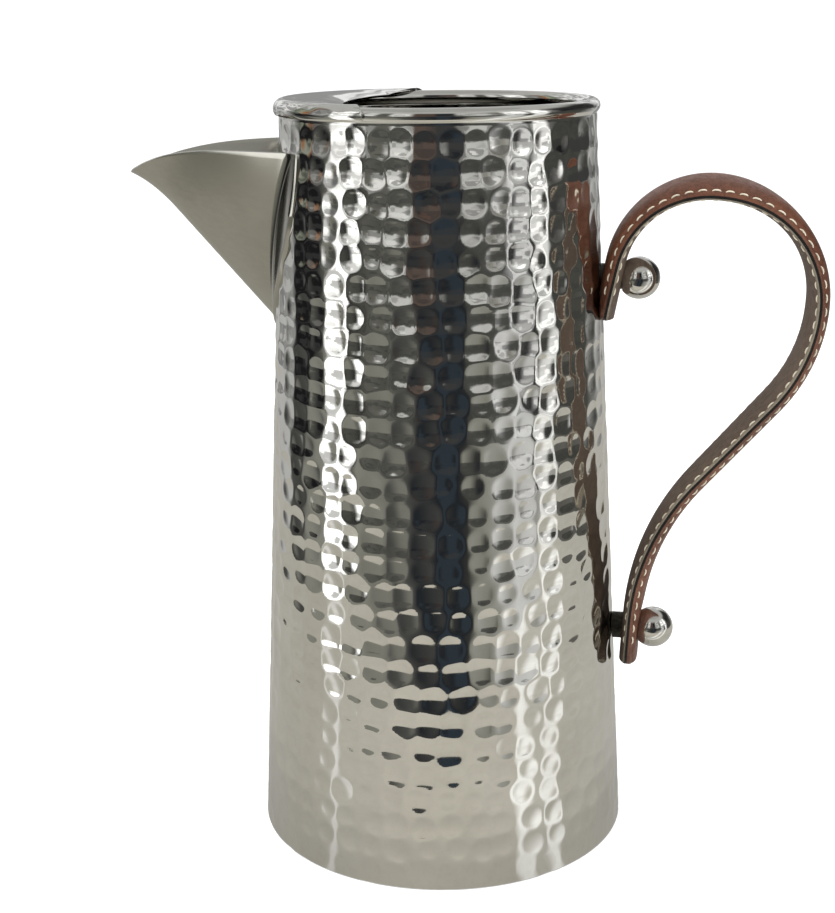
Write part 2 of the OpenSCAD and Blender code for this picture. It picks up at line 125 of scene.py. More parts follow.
def shield(depth):
    """Half width of a shield outline, as a share of its top, at a share of its depth."""
    return np.maximum(0, 1 - np.clip(depth, 0, 1) ** shield_belly) ** shield_taper


strikes = np.random.RandomState(11)
wall_top = roll_z - math.sqrt(roll_r ** 2 - roll_inset ** 2) * roll_overlap
wall_z = np.linspace(0, wall_top, wall_rows)
turn = np.linspace(0, 2 * math.pi, wall_columns, endpoint=False)
hollow = np.zeros((len(wall_z), len(turn)))
row_phase = 0.0
for row in range(dent_rows):
    row_phase += strikes.uniform(-row_shift, row_shift)
    row_depth = dent_depth * strikes.uniform(*row_force)
    for k in range(dents_round):
        angle = (k + row_phase + strikes.normal(0, stray_pitch)) * 2 * math.pi / dents_round
        centre_z = first_dent_z - row * dent_pitch + strikes.normal(0, stray_z)
        depth, curve = row_depth * strikes.uniform(*blow_force), strikes.uniform(*dent_curve)
        radius = wall_r(centre_z)
        reach = math.sqrt(2 * curve * (depth + ridge_reach * ridge_round))
        near_z = np.nonzero(np.abs(wall_z - centre_z) < reach)[0]
        gap = (turn - angle + math.pi) % (2 * math.pi) - math.pi
        near_turn = np.nonzero(np.abs(gap) * radius < reach)[0]
        away = ((wall_z[near_z] - centre_z)[:, None] ** 2 + (gap[near_turn] * radius)[None, :] ** 2)
        bowl = away / (2 * curve) - depth
        hollow[np.ix_(near_z, near_turn)] += np.exp(-bowl / ridge_round)
dents = -ridge_round * np.log1p(hollow)
dents *= np.clip((wall_top - wall_z) / dent_fade, 0, 1)[:, None]
wall_rings = wall_r(wall_z)[:, None] + dents
wall_points = np.stack([wall_rings * np.cos(turn), wall_rings * np.sin(turn),
                        np.repeat(wall_z[:, None], len(turn), axis=1)], axis=-1)
roll_angles = np.radians(np.linspace(roll_from, roll_to, roll_steps))
roll_rings = ring_r + roll_r * np.cos(roll_angles)
roll_heights = roll_z + roll_r * np.sin(roll_angles)
roll_points = np.stack([np.outer(roll_rings, np.cos(turn)), np.outer(roll_rings, np.sin(turn)),
                        np.repeat(roll_heights[:, None], len(turn), axis=1)], axis=-1)
wall = grid_piece("hammered_wall", np.concatenate([wall_points, roll_points]), closed=True)

# the opening behind the spout is cut along a shield outline
opening_w, opening_top, opening_low, cut_margin = 23.0, 232.0, 183.0, 3
side_points, top_points = 240, 60
outline_depth = 1 - np.linspace(0, 1, side_points) ** 2
half_outline = np.stack([opening_w * shield(outline_depth),
                         opening_top - (opening_top - opening_low) * outline_depth], axis=-1)
top_line = np.stack([np.linspace(0, opening_w, top_points), np.full(top_points, opening_top)], axis=-1)
half_outline = np.concatenate([half_outline, top_line])
outline = np.concatenate([half_outline, half_outline * [-1, 1]])


def in_opening(x, y, z):
    depth = (opening_top - z) / (opening_top - opening_low)
    return x < 0 and 0 <= depth <= 1 and abs(y) < opening_w * float(shield(np.array(depth)))


def cut_opening(piece):
    """Deletes the faces behind the spout and draws the cut edge onto the outline."""
    sheet = bmesh.new()
    sheet.from_mesh(piece.data)
    inside = [f for f in sheet.faces if in_opening(*(f.calc_center_median() / MM))]
    bmesh.ops.delete(sheet, geom=inside, context="FACES")
    for vert in sheet.verts:
        near = opening_low - cut_margin < vert.co.z / MM < opening_top + cut_margin
        if vert.is_boundary and vert.co.x < 0 and near:
            spot = np.array([vert.co.y, vert.co.z]) / MM
            spot = outline[np.argmin(((outline - spot) ** 2).sum(axis=1))]
            vert.co.y, vert.co.z = spot * MM
            vert.co.x = -math.sqrt(wall_r(spot[1]) ** 2 - spot[0] ** 2) * MM
    sheet.to_mesh(piece.data)
    sheet.free()


cut_opening(wall)
thicken(wall, sheet_t)


class Wire:
    """A value in a finish's node tree. Arithmetic on it adds Math nodes."""

    def __init__(self, tree, socket=None):
        self.tree, self.socket = tree, socket

    def fill(self, made, sockets):
        for key, value in sockets.items():
            if isinstance(value, Wire):
                self.tree.links.new(value.socket, made.inputs[key])
            elif isinstance(value, tuple) and made.inputs[key].type == "RGBA":
                made.inputs[key].default_value = (*value, 1)
            else:
                made.inputs[key].default_value = value

    def node(self, kind, settings, sockets, out=0):
        """Adds a node: its settings first, then the values or links of its sockets."""
        made = self.tree.nodes.new("ShaderNode" + kind)
        for key, value in settings.items():
            if key == "stops":
                stops = made.color_ramp.elements
                stops[0].position, stops[1].position = value[0][0], value[-1][0]
                for place, colour in value[1:-1]:
                    stops.new(place)
                for stop, (place, colour) in zip(stops, value):
                    stop.color = (*colour, 1)
            else:
                setattr(made, key, value)
        self.fill(made, sockets)
        return Wire(self.tree, made.outputs[out])

    def math(self, operation, *values):
        return self.node("Math", {"operation": operation}, dict(enumerate(values)))

    def __add__(self, other):
        return self.math("ADD", self, other)

    def __sub__(self, other):
        return self.math("SUBTRACT", self, other)

    def __mul__(self, other):
        return self.math("MULTIPLY", self, other)

    def __truediv__(self, other):
        return self.math("DIVIDE", self, other)

    def __rsub__(self, other):
        return self.math("SUBTRACT", other, self)

    __radd__, __rmul__ = __add__, __mul__

    def ramp(self, low, high):
        """0 below low, 1 above high, and smooth between."""
        return self.node("MapRange", {"interpolation_type": "SMOOTHSTEP"},
                         {"Value": self, "From Min": low, "From Max": high})

    def place(self):
        return self.node("TexCoord", {}, {}, "Object")

    def stretched(self, x, y, z):
        """The place on the piece with its axes scaled, so that a grain on it runs one way."""
        return self.node("VectorMath", {"operation": "MULTIPLY"}, {0: self.place(), 1: (x, y, z)})

    def noise(self, scale, detail=3, place=None):
        return self.node("TexNoise", {}, {"Vector": place or self.place(), "Scale": scale,
                                          "Detail": detail})

    def tint(self, share, first, second):
        """A colour between two, by share."""
        return self.node("Mix", {"data_type": "RGBA"}, {0: share, 6: first, 7: second}, 2)

    def bump(self, height, distance, strength=1):
        return self.node("Bump", {}, {"Height": height, "Distance": distance * MM,
                                      "Strength": strength})


def new_finish(name, sockets_of):
    """A material whose sockets are worked out by sockets_of from a Wire on its node tree."""
    material = bpy.data.materials.new(name)
    material.use_nodes = True
    wire = Wire(material.node_tree)
    wire.fill(material.node_tree.nodes["Principled BSDF"], sockets_of(wire))
    return material


def polished_sockets(wire):
    smear = wire.noise(38, 4).ramp(0.35, 0.75)
    haze = wire.noise(420, 3).ramp(0.4, 0.8)
    polish_lines = wire.noise(1, 2, wire.stretched(160, 160, 2600))
    return {"Base Color": wire.tint(smear * 0.6 + haze * 0.3,
                                    (0.80, 0.795, 0.77), (0.70, 0.69, 0.66)),
            "Metallic": 1.0,
            "Roughness": 0.035 + smear * 0.03 + haze * 0.02 + polish_lines * 0.015}


polished_steel = new_finish("polished_steel", polished_sockets)
wall.data.materials.append(polished_steel)
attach(wall, "root")
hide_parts("body_shell")


# ---- Base plate and rim wire
# A pressed steel disc with an upturned edge is welded inside the foot of the wall, and a plain
# steel wire fills the rolled rim. Neither is polished after it is fitted.
def satin_sockets(wire):
    streak = wire.noise(1, 3, wire.stretched(90, 900, 900)).ramp(0.3, 0.7)
    cloud = wire.noise(45, 3).ramp(0.3, 0.7)
    return {"Base Color": wire.tint(cloud * 0.5 + streak * 0.3,
                                    (0.66, 0.645, 0.60), (0.52, 0.505, 0.465)),
            "Metallic": 1.0,
            "Roughness": 0.24 + streak * 0.08 + cloud * 0.05,
            "Normal": wire.bump(streak, 0.01, 0.25)}


satin_steel = new_finish("satin_steel", satin_sockets)


def refinish(node, finish):
    """Gives a piece that is kept from the frame its finish."""
    for slot in nodes[node].material_slots:
        slot.material = finish


refinish("base_plate", satin_steel)
refinish("rim_wire", satin_steel)

# ---- Ice guard
# A crescent of polished sheet lies on the rim over the spout and holds back the ice. Its outer
# edge is wrapped round the rolled rim and tapped down, which leaves a row of shallow dimples.
guard_t, guard_gap, guard_wrap = 0.8, 0.05, math.radians(-35)
guard_centre_x, guard_arc_r, guard_lip = 62.5, 91.5, 10.0
guard_outer_r, guard_trim, guard_edge = roll_r + guard_gap + guard_t, 0.992, 0.15
lip_drop, belly, belly_w = 1.5, 0.12, 14
ripple, ripple_round, ripple_twist, ripple_out = 0.03, 13, 0.2, 0.31
tap_from, tap_to, tap_gap, tap_size, tap_tilt = -1.2, 1.2, (0.11, 0.19), (0.6, 1.3), (-0.15, 0.75)
tap_depth, tap_length, tap_height, tap_ring_r, tap_bead_r = 0.2, 2.3, 1.1, 52, 3.2
wrap_span = 1.3
taps = np.random.RandomState(5)


def guard_half_angle(r):
    """Angle from the spout's direction to where the crescent's edge meets radius r."""
    x = (r * r + guard_centre_x ** 2 - guard_arc_r ** 2) / (2 * guard_centre_x)
    return math.pi - math.acos(x / r)


def guard_inner_r(angle):
    across = guard_centre_x * math.cos(angle)
    return across + math.sqrt(across ** 2 + guard_arc_r ** 2 - guard_centre_x ** 2)


tap_places = []
tap_turn = tap_from
while tap_turn < tap_to:
    tap_places.append((tap_turn, taps.uniform(*tap_tilt), taps.uniform(*tap_size)))
    tap_turn += taps.uniform(*tap_gap)


def dimples(along, wrap_angle):
    """Depth of the dimples on the wrapped edge."""
    return sum(tap_depth * size * math.exp(-((along - at) * tap_ring_r / (tap_length * size)) ** 2
                                           - ((wrap_angle - tilt) * tap_bead_r / tap_height) ** 2)
               for at, tilt, size in tap_places)


guard_turns, guard_flats, guard_wraps = 150, 26, 22
guard_rows = []
for i in range(guard_turns + 1):
    share = (2 * i / guard_turns - 1) * guard_trim
    ring = []
    for j in range(guard_flats):
        angle = math.pi + share * guard_half_angle(ring_r)
        inner = guard_inner_r(angle)
        r = inner + (ring_r - inner) * j / guard_flats
        lip = max(0, 1 - (r - inner) / guard_lip) * min(1, (ring_r - inner) / guard_lip)
        sag = lip_drop * lip ** 2 + belly * math.sin(math.pi * min(1, (ring_r - r) / belly_w)) ** 2
        sag += ripple * math.sin(angle * ripple_round + r * ripple_twist) * math.sin(r * ripple_out)
        ring.append((r * math.cos(angle), r * math.sin(angle), roll_z + guard_outer_r - sag))
    for j in range(guard_wraps + 1):
        tilt = math.pi / 2 + (guard_wrap - math.pi / 2) * j / guard_wraps
        bead = guard_outer_r - dimples(share * wrap_span, tilt)
        r = ring_r + bead * math.cos(tilt)
        angle = math.pi + share * guard_half_angle(r)
        ring.append((r * math.cos(angle), r * math.sin(angle), roll_z + bead * math.sin(tilt)))
    guard_rows.append(ring)
guard = grid_piece("ice_guard_sheet", np.array(guard_rows))
thicken(guard, guard_t, guard_edge)
guard.data.materials.append(polished_steel)
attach(guard, "root")
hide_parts("ice_guard")

# ---- Spout
# A beaked channel folded from satin steel sheet, with a rounded keel that bends down at the tip.
# It is brazed over the opening, with a filleted root and a smooth flange that lies on the wall.
spout_reach = -(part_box("spout")[0] / MM).x
mouth_x, mouth_w, mouth_taper = 46.0, 31.5, 0.68
edge_top_z, keel_wall_z, tip_t = 235.0, 175.0, 0.02
beak_x, keel_slope, keel_round, tip_dip, dip_curve = spout_reach - 16, 1.1, 0.3, 9.5, 3.7
flange_w, flange_low, flange_rise, flange_tuck, flange_splay = 36.3, 174.0, 0.85, 0.5, 1.004
fillet, fillet_share, tip_gap, spout_t, spout_edge = 2.1, 0.7, 0.15, 0.85, 0.22
keel_crowding, tip_crowding = 0.9, 1.5


def spout_across(a):
    """Height of the folded sheet at a share of its half width, rounded at the keel."""
    return ((math.sqrt(a * a + keel_round ** 2) - keel_round)
            / (math.sqrt(1 + keel_round ** 2) - keel_round))


def spout_point(s, a):
    """Point on the channel's outside at distance s from the axis, a from -1 to 1 across it."""
    along = (s - mouth_x) / (spout_reach - mouth_x)
    half_w = mouth_w * max(0, 1 - along) ** mouth_taper
    edge = edge_top_z - tip_dip * max(0, along) ** dip_curve
    keel_line = keel_wall_z + keel_slope * (s - wall_r(keel_wall_z))
    keel_tip = keel_wall_z + keel_slope * (spout_reach - wall_r(keel_wall_z))
    bend = (max(0, s - beak_x) / (spout_reach - beak_x)) ** 2
    keel = keel_line + bend * (edge_top_z - tip_dip - keel_tip)
    return np.array([-s, half_w * a, keel + max(tip_t, edge - keel) * spout_across(abs(a))])


def on_wall(y, z, out):
    """The point at that height and depth which stands out from the plain cone of the wall."""
    return np.array([-math.sqrt((wall_r(z) + out) ** 2 - y * y), y, z])


def spout_root(a):
    """Distance from the axis at which the channel meets the flange's face."""
    low, high = 30.0, 80.0
    for _ in range(40):
        s = (low + high) / 2
        _, y, z = spout_point(s, a)
        if s * s + y * y < (wall_r(z) + flange_rise) ** 2:
            low = s
        else:
            high = s
    return high


def flange_edge(a):
    """Where the flange ends beyond the channel's point a."""
    share = spout_across(abs(a))
    z = flange_low + (edge_top_z - flange_low) * share
    return math.copysign(flange_w * float(shield(np.array(1 - share))), a), z


spout_acrosses, spout_lengths, fillet_steps, flange_steps = 84, 46, 9, 7
spout_rows = []
for i in range(spout_acrosses + 1):
    a = 2 * i / spout_acrosses - 1
    a = math.copysign(abs(a) ** keel_crowding, a)
    root_s = spout_root(a)
    foot_s = root_s + fillet
    root = spout_point(root_s, a)
    edge_y, edge_z = flange_edge(a)
    run = max(1e-6, math.hypot(edge_y - root[1], edge_z - root[2]))
    reach = min(fillet, run * fillet_share) / run
    heel = on_wall(root[1] + (edge_y - root[1]) * reach, root[2] + (edge_z - root[2]) * reach,
                   flange_rise)
    toe = spout_point(foot_s, a)
    free = spout_reach - tip_gap - foot_s
    ring = [spout_point(foot_s + free * (1 - (1 - k / spout_lengths) ** tip_crowding), a)
            for k in range(spout_lengths, 0, -1)]
    for k in range(fillet_steps + 1):
        t = k / fillet_steps
        ring.append(toe * (1 - t) ** 2 + root * 2 * t * (1 - t) + heel * t * t)
    for k in range(1, flange_steps + 1):
        t = reach + (1 - reach) * k / flange_steps
        ring.append(on_wall(root[1] + (edge_y - root[1]) * t, root[2] + (edge_z - root[2]) * t,
                            flange_rise))
    ring.append(on_wall(edge_y * flange_splay, edge_z, -flange_tuck))
    spout_rows.append(ring)
spout = grid_piece("spout_channel", np.array(spout_rows)[:, ::-1])
thicken(spout, spout_t, spout_edge)


def spout_sockets(wire):
    streak = wire.noise(1, 4, wire.stretched(60, 700, 700)).ramp(0.3, 0.7)
    cloud = wire.noise(30, 4).ramp(0.35, 0.7)
    return {"Base Color": wire.tint(cloud * 0.5 + streak * 0.15,
                                    (0.50, 0.49, 0.445), (0.40, 0.39, 0.35)),
            "Metallic": 1.0,
            "Roughness": 0.10 + streak * 0.02 + cloud * 0.03}


spout.data.materials.append(new_finish("brushed_spout", spout_sockets))
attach(spout, "root")
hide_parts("spout")

# ---- Strap handle
# Two strips of leather, brown outside and grey suede inside, are sewn together round a flat
# steel core. The strap runs from the upper post round one wide loop to the lower post.
ball_r, ball_lift, strap_t, strap_w = 6.9, 5.3, 5.2, 24.0
half_t, half_w = strap_t / 2, strap_w / 2
posts = {}
for post in ("upper", "lower"):
    nut_low, nut_high = (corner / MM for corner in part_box(post + "_ball_nut"))
    posts[post] = ((nut_high.x - ball_r - ball_lift - half_t), (nut_low.z + nut_high.z) / 2)
up_heading, down_heading = 79.0, -93.5
upper_tail, lower_tail, rise = 14.0, 12.5, 5.5
shoulder_r, bow_r, run_len, bend_ratio = 29.3, 34.4, 36.0, 1.6


def advance(pose, leg):
    """The pose (x, z, heading in degrees) after a leg (length, turn in degrees)."""
    x, z, heading = pose
    length, bend = leg
    start, end = math.radians(heading), math.radians(heading + bend)
    if not bend:
        return x + length * math.cos(start), z + length * math.sin(start), heading
    r = length / math.radians(bend)
    return (x + r * (math.sin(end) - math.sin(start)), z - r * (math.cos(end) - math.cos(start)),
            heading + bend)


def arc(r, bend):
    return r * math.radians(abs(bend)), bend


strap_start = advance((*posts["upper"], up_heading), (-upper_tail, 0))
route = [(upper_tail + rise, 0), arc(shoulder_r, -up_heading), arc(bow_r, -90)]
bow_end = strap_start
for leg in route:
    bow_end = advance(bow_end, leg)
# the two bends below the bow touch the straight run between them, which fixes their radii
heading = math.radians(down_heading)
sweep_end = np.array(posts["lower"]) - rise * np.array([math.cos(heading), math.sin(heading)])
drop = sweep_end - np.array(bow_end[:2])
spread = np.array([1, 0]) + bend_ratio * np.array([-math.sin(heading), math.cos(heading)])
quad_a = spread @ spread - (1 + bend_ratio) ** 2
quad_b = 2 * drop @ spread
quad_c = drop @ drop - run_len ** 2
flank_r = 2 * quad_c / (math.sqrt(quad_b ** 2 - 4 * quad_a * quad_c) - quad_b)
between = drop + flank_r * spread
run_heading = math.degrees(math.atan2(between[1], between[0])
                           - math.asin((1 + bend_ratio) * flank_r / np.hypot(*between)))
route += [arc(flank_r, run_heading + 90), (run_len, 0),
          arc(bend_ratio * flank_r, down_heading - run_heading), (rise + lower_tail, 0)]
route_len = sum(length for length, bend in route)


def pose_at(s):
    pose = strap_start
    for length, bend in route:
        if s <= length:
            return advance(pose, (s, bend * s / length))
        pose, s = advance(pose, (length, bend)), s - length
    return advance(pose, (s, 0))


# the strap is not quite square to its route: it leans one way over the shoulder, the other in the bow
lean_places = (0, 14, 50, 66, 90, 114, 150, 190, 225)
leans = (0, 1.0, 7.0, 7.0, -1.5, -6.0, -3.5, -1.0, 0)
lean_grid, lean_blur = np.linspace(0, 300, 601), 12
lean_curve = np.pad(np.interp(lean_grid, lean_places, leans), lean_blur, mode="edge")
lean_window = np.ones(2 * lean_blur + 1) / (2 * lean_blur + 1)
lean_curve = np.convolve(lean_curve, lean_window, mode="valid")


def off_route(s, u, y):
    """The point u in front of the route and y across the strap, at distance s along it."""
    x, z, heading = pose_at(s)
    lean = math.radians(np.interp(s, lean_grid, lean_curve))
    u, y = u * math.cos(lean) + y * math.sin(lean), y * math.cos(lean) - u * math.sin(lean)
    return x - u * math.sin(math.radians(heading)), y, z + u * math.cos(math.radians(heading))


steep_heading, wall_gap = 45, 0.2


def wall_room(pose, y):
    """How far the upper tail may stand off the route before it meets the wall."""
    x, z, heading = pose
    if heading < steep_heading:
        return half_w
    return (x - math.sqrt(wall_r(z) ** 2 - y * y) - wall_gap) / math.sin(math.radians(heading))


edge_t, corner_r, seam, stitch_in, paint_top = 0.75, 9.0, 0.05, 1.7, 0.5
crown_round, groove_depth, groove_w = 2.4, 0.28, 0.55
padding, padding_round, press_r = 1.5, 4, 7.5
end_t, end_run = 0.45, 1.6
stitch_share = 1 - stitch_in / half_w
raw_from = stitch_share - 0.005


def crown(share):
    """Thickness of one strip at a share of its half width, with the groove of the stitches."""
    groove = groove_depth * math.exp(-((abs(share) - stitch_share) * half_w / groove_w) ** 2)
    return edge_t + (half_t - edge_t) * (1 - abs(share) ** crown_round) - groove


def padded(s, y, side):
    """How far the padding lifts the outer strip, less where the lower ball nut is drawn down on it."""
    if side < 0:
        return 0
    from_post = math.hypot(s - (route_len - lower_tail), y)
    pressed = 1 - math.exp(-(from_post / press_r) ** 2)
    return padding * (1 - abs(y / half_w) ** padding_round) * pressed


face_shares = (0, 0.14, 0.28, 0.42, 0.54, 0.64, 0.72, 0.78, 0.805, 0.83, 0.85, 0.87, 0.89, 0.915, 0.94)
half_section = [(share, crown(share)) for share in face_shares]
half_section += [(0.965, 0.80), (0.988, 0.64), (1.0, 0.46), (1.0, 0.25), (1.0, seam)]
section = [(-share, u) for share, u in half_section[:0:-1]] + half_section
middle_count, end_count = 200, 14
end_marks = [corner_r * (1 - math.cos(math.radians(90 * k / end_count))) for k in range(end_count + 1)]
stations = (end_marks + list(np.linspace(corner_r, route_len - corner_r, middle_count)[1:-1])
            + [route_len - mark for mark in end_marks[::-1]])


def leather_strip(name, side, skins, skin_of):
    """One strip: side 1 is the brown one, outside the loop, and -1 the grey one inside it."""
    points, faces, chosen = [], [], []
    count = len(section)
    for s in stations:
        pose = pose_at(s)
        from_end = min(corner_r, s, route_len - s)
        w = half_w - corner_r + math.sqrt(max(0, corner_r ** 2 - (corner_r - from_end) ** 2))
        ease = min(1, end_t + min(s, route_len - s) / end_run)
        for share, u in section:
            y = share * w
            room = wall_room(pose, y) if side > 0 else half_w
            lift = u * ease + padded(s, y, side) * w / half_w if abs(share) < 1 else u
            points.append(off_route(s, side * max(seam, min(lift, room)), y))
    for i in range(len(stations) - 1):
        for j in range(count):
            a, b = i * count + j, i * count + (j + 1) % count
            quad = (a, b, b + count, a + count)
            faces.append(quad if side < 0 else quad[::-1])
            chosen.append(skin_of(section[j], section[(j + 1) % count]))
    last = (len(stations) - 1) * count
    for first in (0, last):
        cap = [first + j for j in range(count)]
        faces.append(cap if (first == 0) == (side > 0) else cap[::-1])
        chosen.append(len(skins) - 1)
    strip = mesh_piece(name, points, faces)
    for skin in skins:
        strip.data.materials.append(skin)
    strip.data.polygons.foreach_set("material_index", chosen)
    return strip


def leather_sockets(wire, light, dark, grain, rough, sheen_side):
    """Leather: cloudy dye, pebbled grain with fine pores, and fine creases across the strap."""
    cloud = wire.noise(55, 4).ramp(0.3, 0.7)
    mottle = wire.noise(500, 3).ramp(0.35, 0.7)
    pebble = wire.node("TexVoronoi", {"feature": "DISTANCE_TO_EDGE"},
                       {"Vector": wire.place(), "Scale": grain}).ramp(0, 0.16)
    pores = wire.noise(2600, 2)
    crease = wire.noise(1, 3, wire.stretched(900, 60, 900)).ramp(0.42, 0.6)
    height = pebble * 0.5 + pores * 0.35 + crease * 0.45
    return {"Base Color": wire.tint(cloud * 0.45 + mottle * 0.3 + (1 - pebble) * 0.35, light, dark),
            "Roughness": rough + mottle * 0.1 - pebble * 0.05,
            "Specular IOR Level": sheen_side,
            "Normal": wire.bump(height, 0.09, 0.55)}


brown_leather = new_finish("brown_leather", lambda wire: leather_sockets(
    wire, (0.145, 0.052, 0.025), (0.062, 0.021, 0.011), 900, 0.40, 0.45))
grey_suede = new_finish("grey_suede", lambda wire: leather_sockets(
    wire, (0.125, 0.090, 0.066), (0.080, 0.056, 0.041), 1500, 0.72, 0.3))
raw_edge = new_finish("raw_edge", lambda wire: leather_sockets(
    wire, (0.25, 0.215, 0.165), (0.14, 0.12, 0.09), 1900, 0.8, 0.25))
painted_edge = new_finish("painted_edge", lambda wire: leather_sockets(
    wire, (0.016, 0.014, 0.011), (0.006, 0.005, 0.004), 1400, 0.5, 0.4))


def is_painted(one, other):
    """Whether the strip's skin between two points of its section is its painted edge or back."""
    (y, u), (other_y, other_u) = one, other
    return abs(y) == abs(other_y) == 1.0 and max(u, other_u) <= paint_top or u == other_u == seam


def outer_skin(one, other):
    return 1 if is_painted(one, other) else 0


def inner_skin(one, other):
    """The grey strip is left raw and pale between its stitches and its painted edge."""
    if is_painted(one, other):
        return 2
    return 1 if min(abs(one[0]), abs(other[0])) > raw_from else 0


outer_strip = leather_strip("brown_strip", 1, [brown_leather, painted_edge], outer_skin)
inner_strip = leather_strip("grey_strip", -1, [grey_suede, raw_edge, painted_edge], inner_skin)
for strip, node, slot in ((outer_strip, "leather_outer", "brown_leather"),
                          (inner_strip, "leather_inner", "grey_leather")):
    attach(strip, "root")
    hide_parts(node)
refinish("handle_core", satin_steel)

# ---- Stitching
# Waxed cream thread is sewn through both strips near each edge. Every stitch shows as a short
# plump arc that dives into the leather at both ends, on both faces.
stitch_pitch, stitch_len, thread_r = 4.2, 3.2, 0.40
slant, slant_stray, stretch, least_room = 0.22, 0.08, (0.92, 1.06), 2.2
stitch_rise, stitch_dive, end_thin, thread_flat = 0.20, 0.62, 0.35, 0.7
stitch_run = route_len - 2 * corner_r
stitch_count = int(stitch_run // stitch_pitch)
thread_round, thread_steps = 10, 9
needle = np.random.RandomState(3)


def thread_sockets(wire):
    twist = wire.noise(1, 2, wire.stretched(2600, 2600, 2600)).ramp(0.35, 0.65)
    soil = wire.noise(300, 2).ramp(0.4, 0.8)
    return {"Base Color": wire.tint(soil * 0.6 + twist * 0.25, (0.66, 0.60, 0.47), (0.36, 0.31, 0.22)),
            "Roughness": 0.62 + twist * 0.12,
            "Normal": wire.bump(twist, 0.08, 0.6)}


thread = new_finish("waxed_thread", thread_sockets)


def stitch_row(name, y, node):
    points, faces = [], []
    for k in range(stitch_count):
        middle = corner_r + (k + 0.5) * stitch_run / stitch_count
        for side in (1, -1):
            lie = slant + needle.normal(0, slant_stray)
            half_len = needle.uniform(*stretch) * stitch_len / 2
            if side > 0 and wall_room(pose_at(middle), y) < least_room:
                continue
            base = len(points)
            for i in range(thread_steps + 1):
                t = 2 * i / thread_steps - 1
                at = middle + t * half_len
                lift = crown(y / half_w) + padded(at, y, side) + stitch_rise - stitch_dive * abs(t) ** 3
                thick = thread_r * (1 - end_thin * abs(t) ** 4)
                for j in range(thread_round):
                    around = 2 * math.pi * j / thread_round
                    points.append(off_route(at, side * (lift + thick * thread_flat * math.sin(around)),
                                            y + lie * t + thick * math.cos(around)))
            for i in range(thread_steps):
                first = base + i * thread_round
                for j in range(thread_round):
                    a, b = first + j, first + (j + 1) % thread_round
                    quad = (a, b, b + thread_round, a + thread_round)
                    faces.append(quad if side > 0 else quad[::-1])
            start = list(range(base, base + thread_round))
            end = [corner + thread_steps * thread_round for corner in start]
            faces += [start[::-1], end] if side > 0 else [start, end[::-1]]
    piece = mesh_piece(name, points, faces)
    piece.data.materials.append(thread)
    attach(piece, "root")
    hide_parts(node)


stitch_row("stitches_near", -(half_w - stitch_in), "stitching_back")
stitch_row("stitches_far", half_w - stitch_in, "stitching_front")

# ---- Posts
# A polished screw comes through the wall at each post from inside, through a rubber seal and a
# darkened steel spacer, and a turned and polished ball nut clamps the strap down on it.
lathe_round, ball_steps, centre_r = 96, 48, 0.02
nut_back, nut_bore_r, nut_neck_r, nut_chamfer, nut_gap = 1.4, 2.06, 3.8, 0.1, 0.05
neck_lip, neck_lip_r, ball_ease = 0.02, 3.84, 0.15


def lathe(name, axis_z, profile):
    """A turned piece about a level axis, from its profile of (x, radius) points."""
    rings = [[(x, r * math.cos(a), axis_z + r * math.sin(a))
              for a in np.linspace(0, 2 * math.pi, lathe_round, endpoint=False)] for x, r in profile]
    return grid_piece(name, np.array(rings), closed=True)


for post, (seat_x, post_z) in posts.items():
    centre = seat_x + half_t + ball_lift
    face = seat_x + half_t + nut_gap
    face_r = math.sqrt(ball_r ** 2 - (centre - face) ** 2)
    first = math.acos((face - centre) / ball_r)
    back = seat_x + nut_back
    profile = [(back, nut_bore_r), (back, nut_neck_r - nut_chamfer), (back + nut_chamfer, nut_neck_r),
               (face - neck_lip, nut_neck_r), (face, neck_lip_r), (face, face_r - ball_ease)]
    profile += [(centre + ball_r * math.cos(a), max(centre_r, ball_r * math.sin(a)))
                for a in np.linspace(first, 0, ball_steps)]
    nut = lathe(post + "_ball", post_z, profile)
    nut.data.materials.append(polished_steel)
    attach(nut, "root")
    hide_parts(post + "_ball_nut")


def rubber_sockets(wire):
    dust = wire.noise(700, 3).ramp(0.4, 0.8)
    return {"Base Color": wire.tint(dust, (0.012, 0.012, 0.012), (0.035, 0.034, 0.032)),
            "Roughness": 0.6 + dust * 0.2,
            "Normal": wire.bump(wire.noise(2200, 2), 0.03, 0.4)}


rubber = new_finish("rubber", rubber_sockets)


def dull_sockets(wire):
    tarnish = wire.noise(600, 3).ramp(0.35, 0.75)
    return {"Base Color": wire.tint(tarnish, (0.07, 0.065, 0.055), (0.03, 0.028, 0.024)),
            "Metallic": 1.0,
            "Roughness": 0.42 + tarnish * 0.12}


dull_steel = new_finish("dull_steel", dull_sockets)
for post in posts:
    refinish(post + "_screw", polished_steel)
    refinish(post + "_spacer", dull_steel)
    refinish(post + "_seal", rubber)

# ---- Stage
# A plain white floor curves up into a white wall all round, under soft light. What the polished
# steel mirrors is a separate room that only reflections see: pale table, dark aisle, windows.
floor_r, wall_bend, floor_drop, axis_r, stage_round = 3.0, 3.0, 0.0003, 0.001, 128
ring_turns = np.linspace(0, 2 * math.pi, stage_round, endpoint=False)


def stage_piece(name, profile):
    """A round piece of the stage from its profile of (radius, height) points in metres."""
    rings = [[(r * math.cos(a), r * math.sin(a), z) for a in ring_turns] for r, z in profile]
    piece = grid_piece(name, np.array(rings) / MM, closed=True)
    return piece


sweep = [(floor_r + wall_bend * math.sin(t), wall_bend * (1 - math.cos(t)) - floor_drop)
         for t in np.linspace(math.pi / 2, 0, 40)] + [(axis_r, -floor_drop)]
floor = stage_piece("floor", sweep)


def floor_sockets(wire):
    return {"Base Color": wire.tint(wire.noise(3, 2), (0.93, 0.93, 0.93), (0.90, 0.90, 0.90)),
            "Roughness": 0.9, "Specular IOR Level": 0.1,
            "Emission Color": (1.0, 1.0, 1.0), "Emission Strength": 0.28}


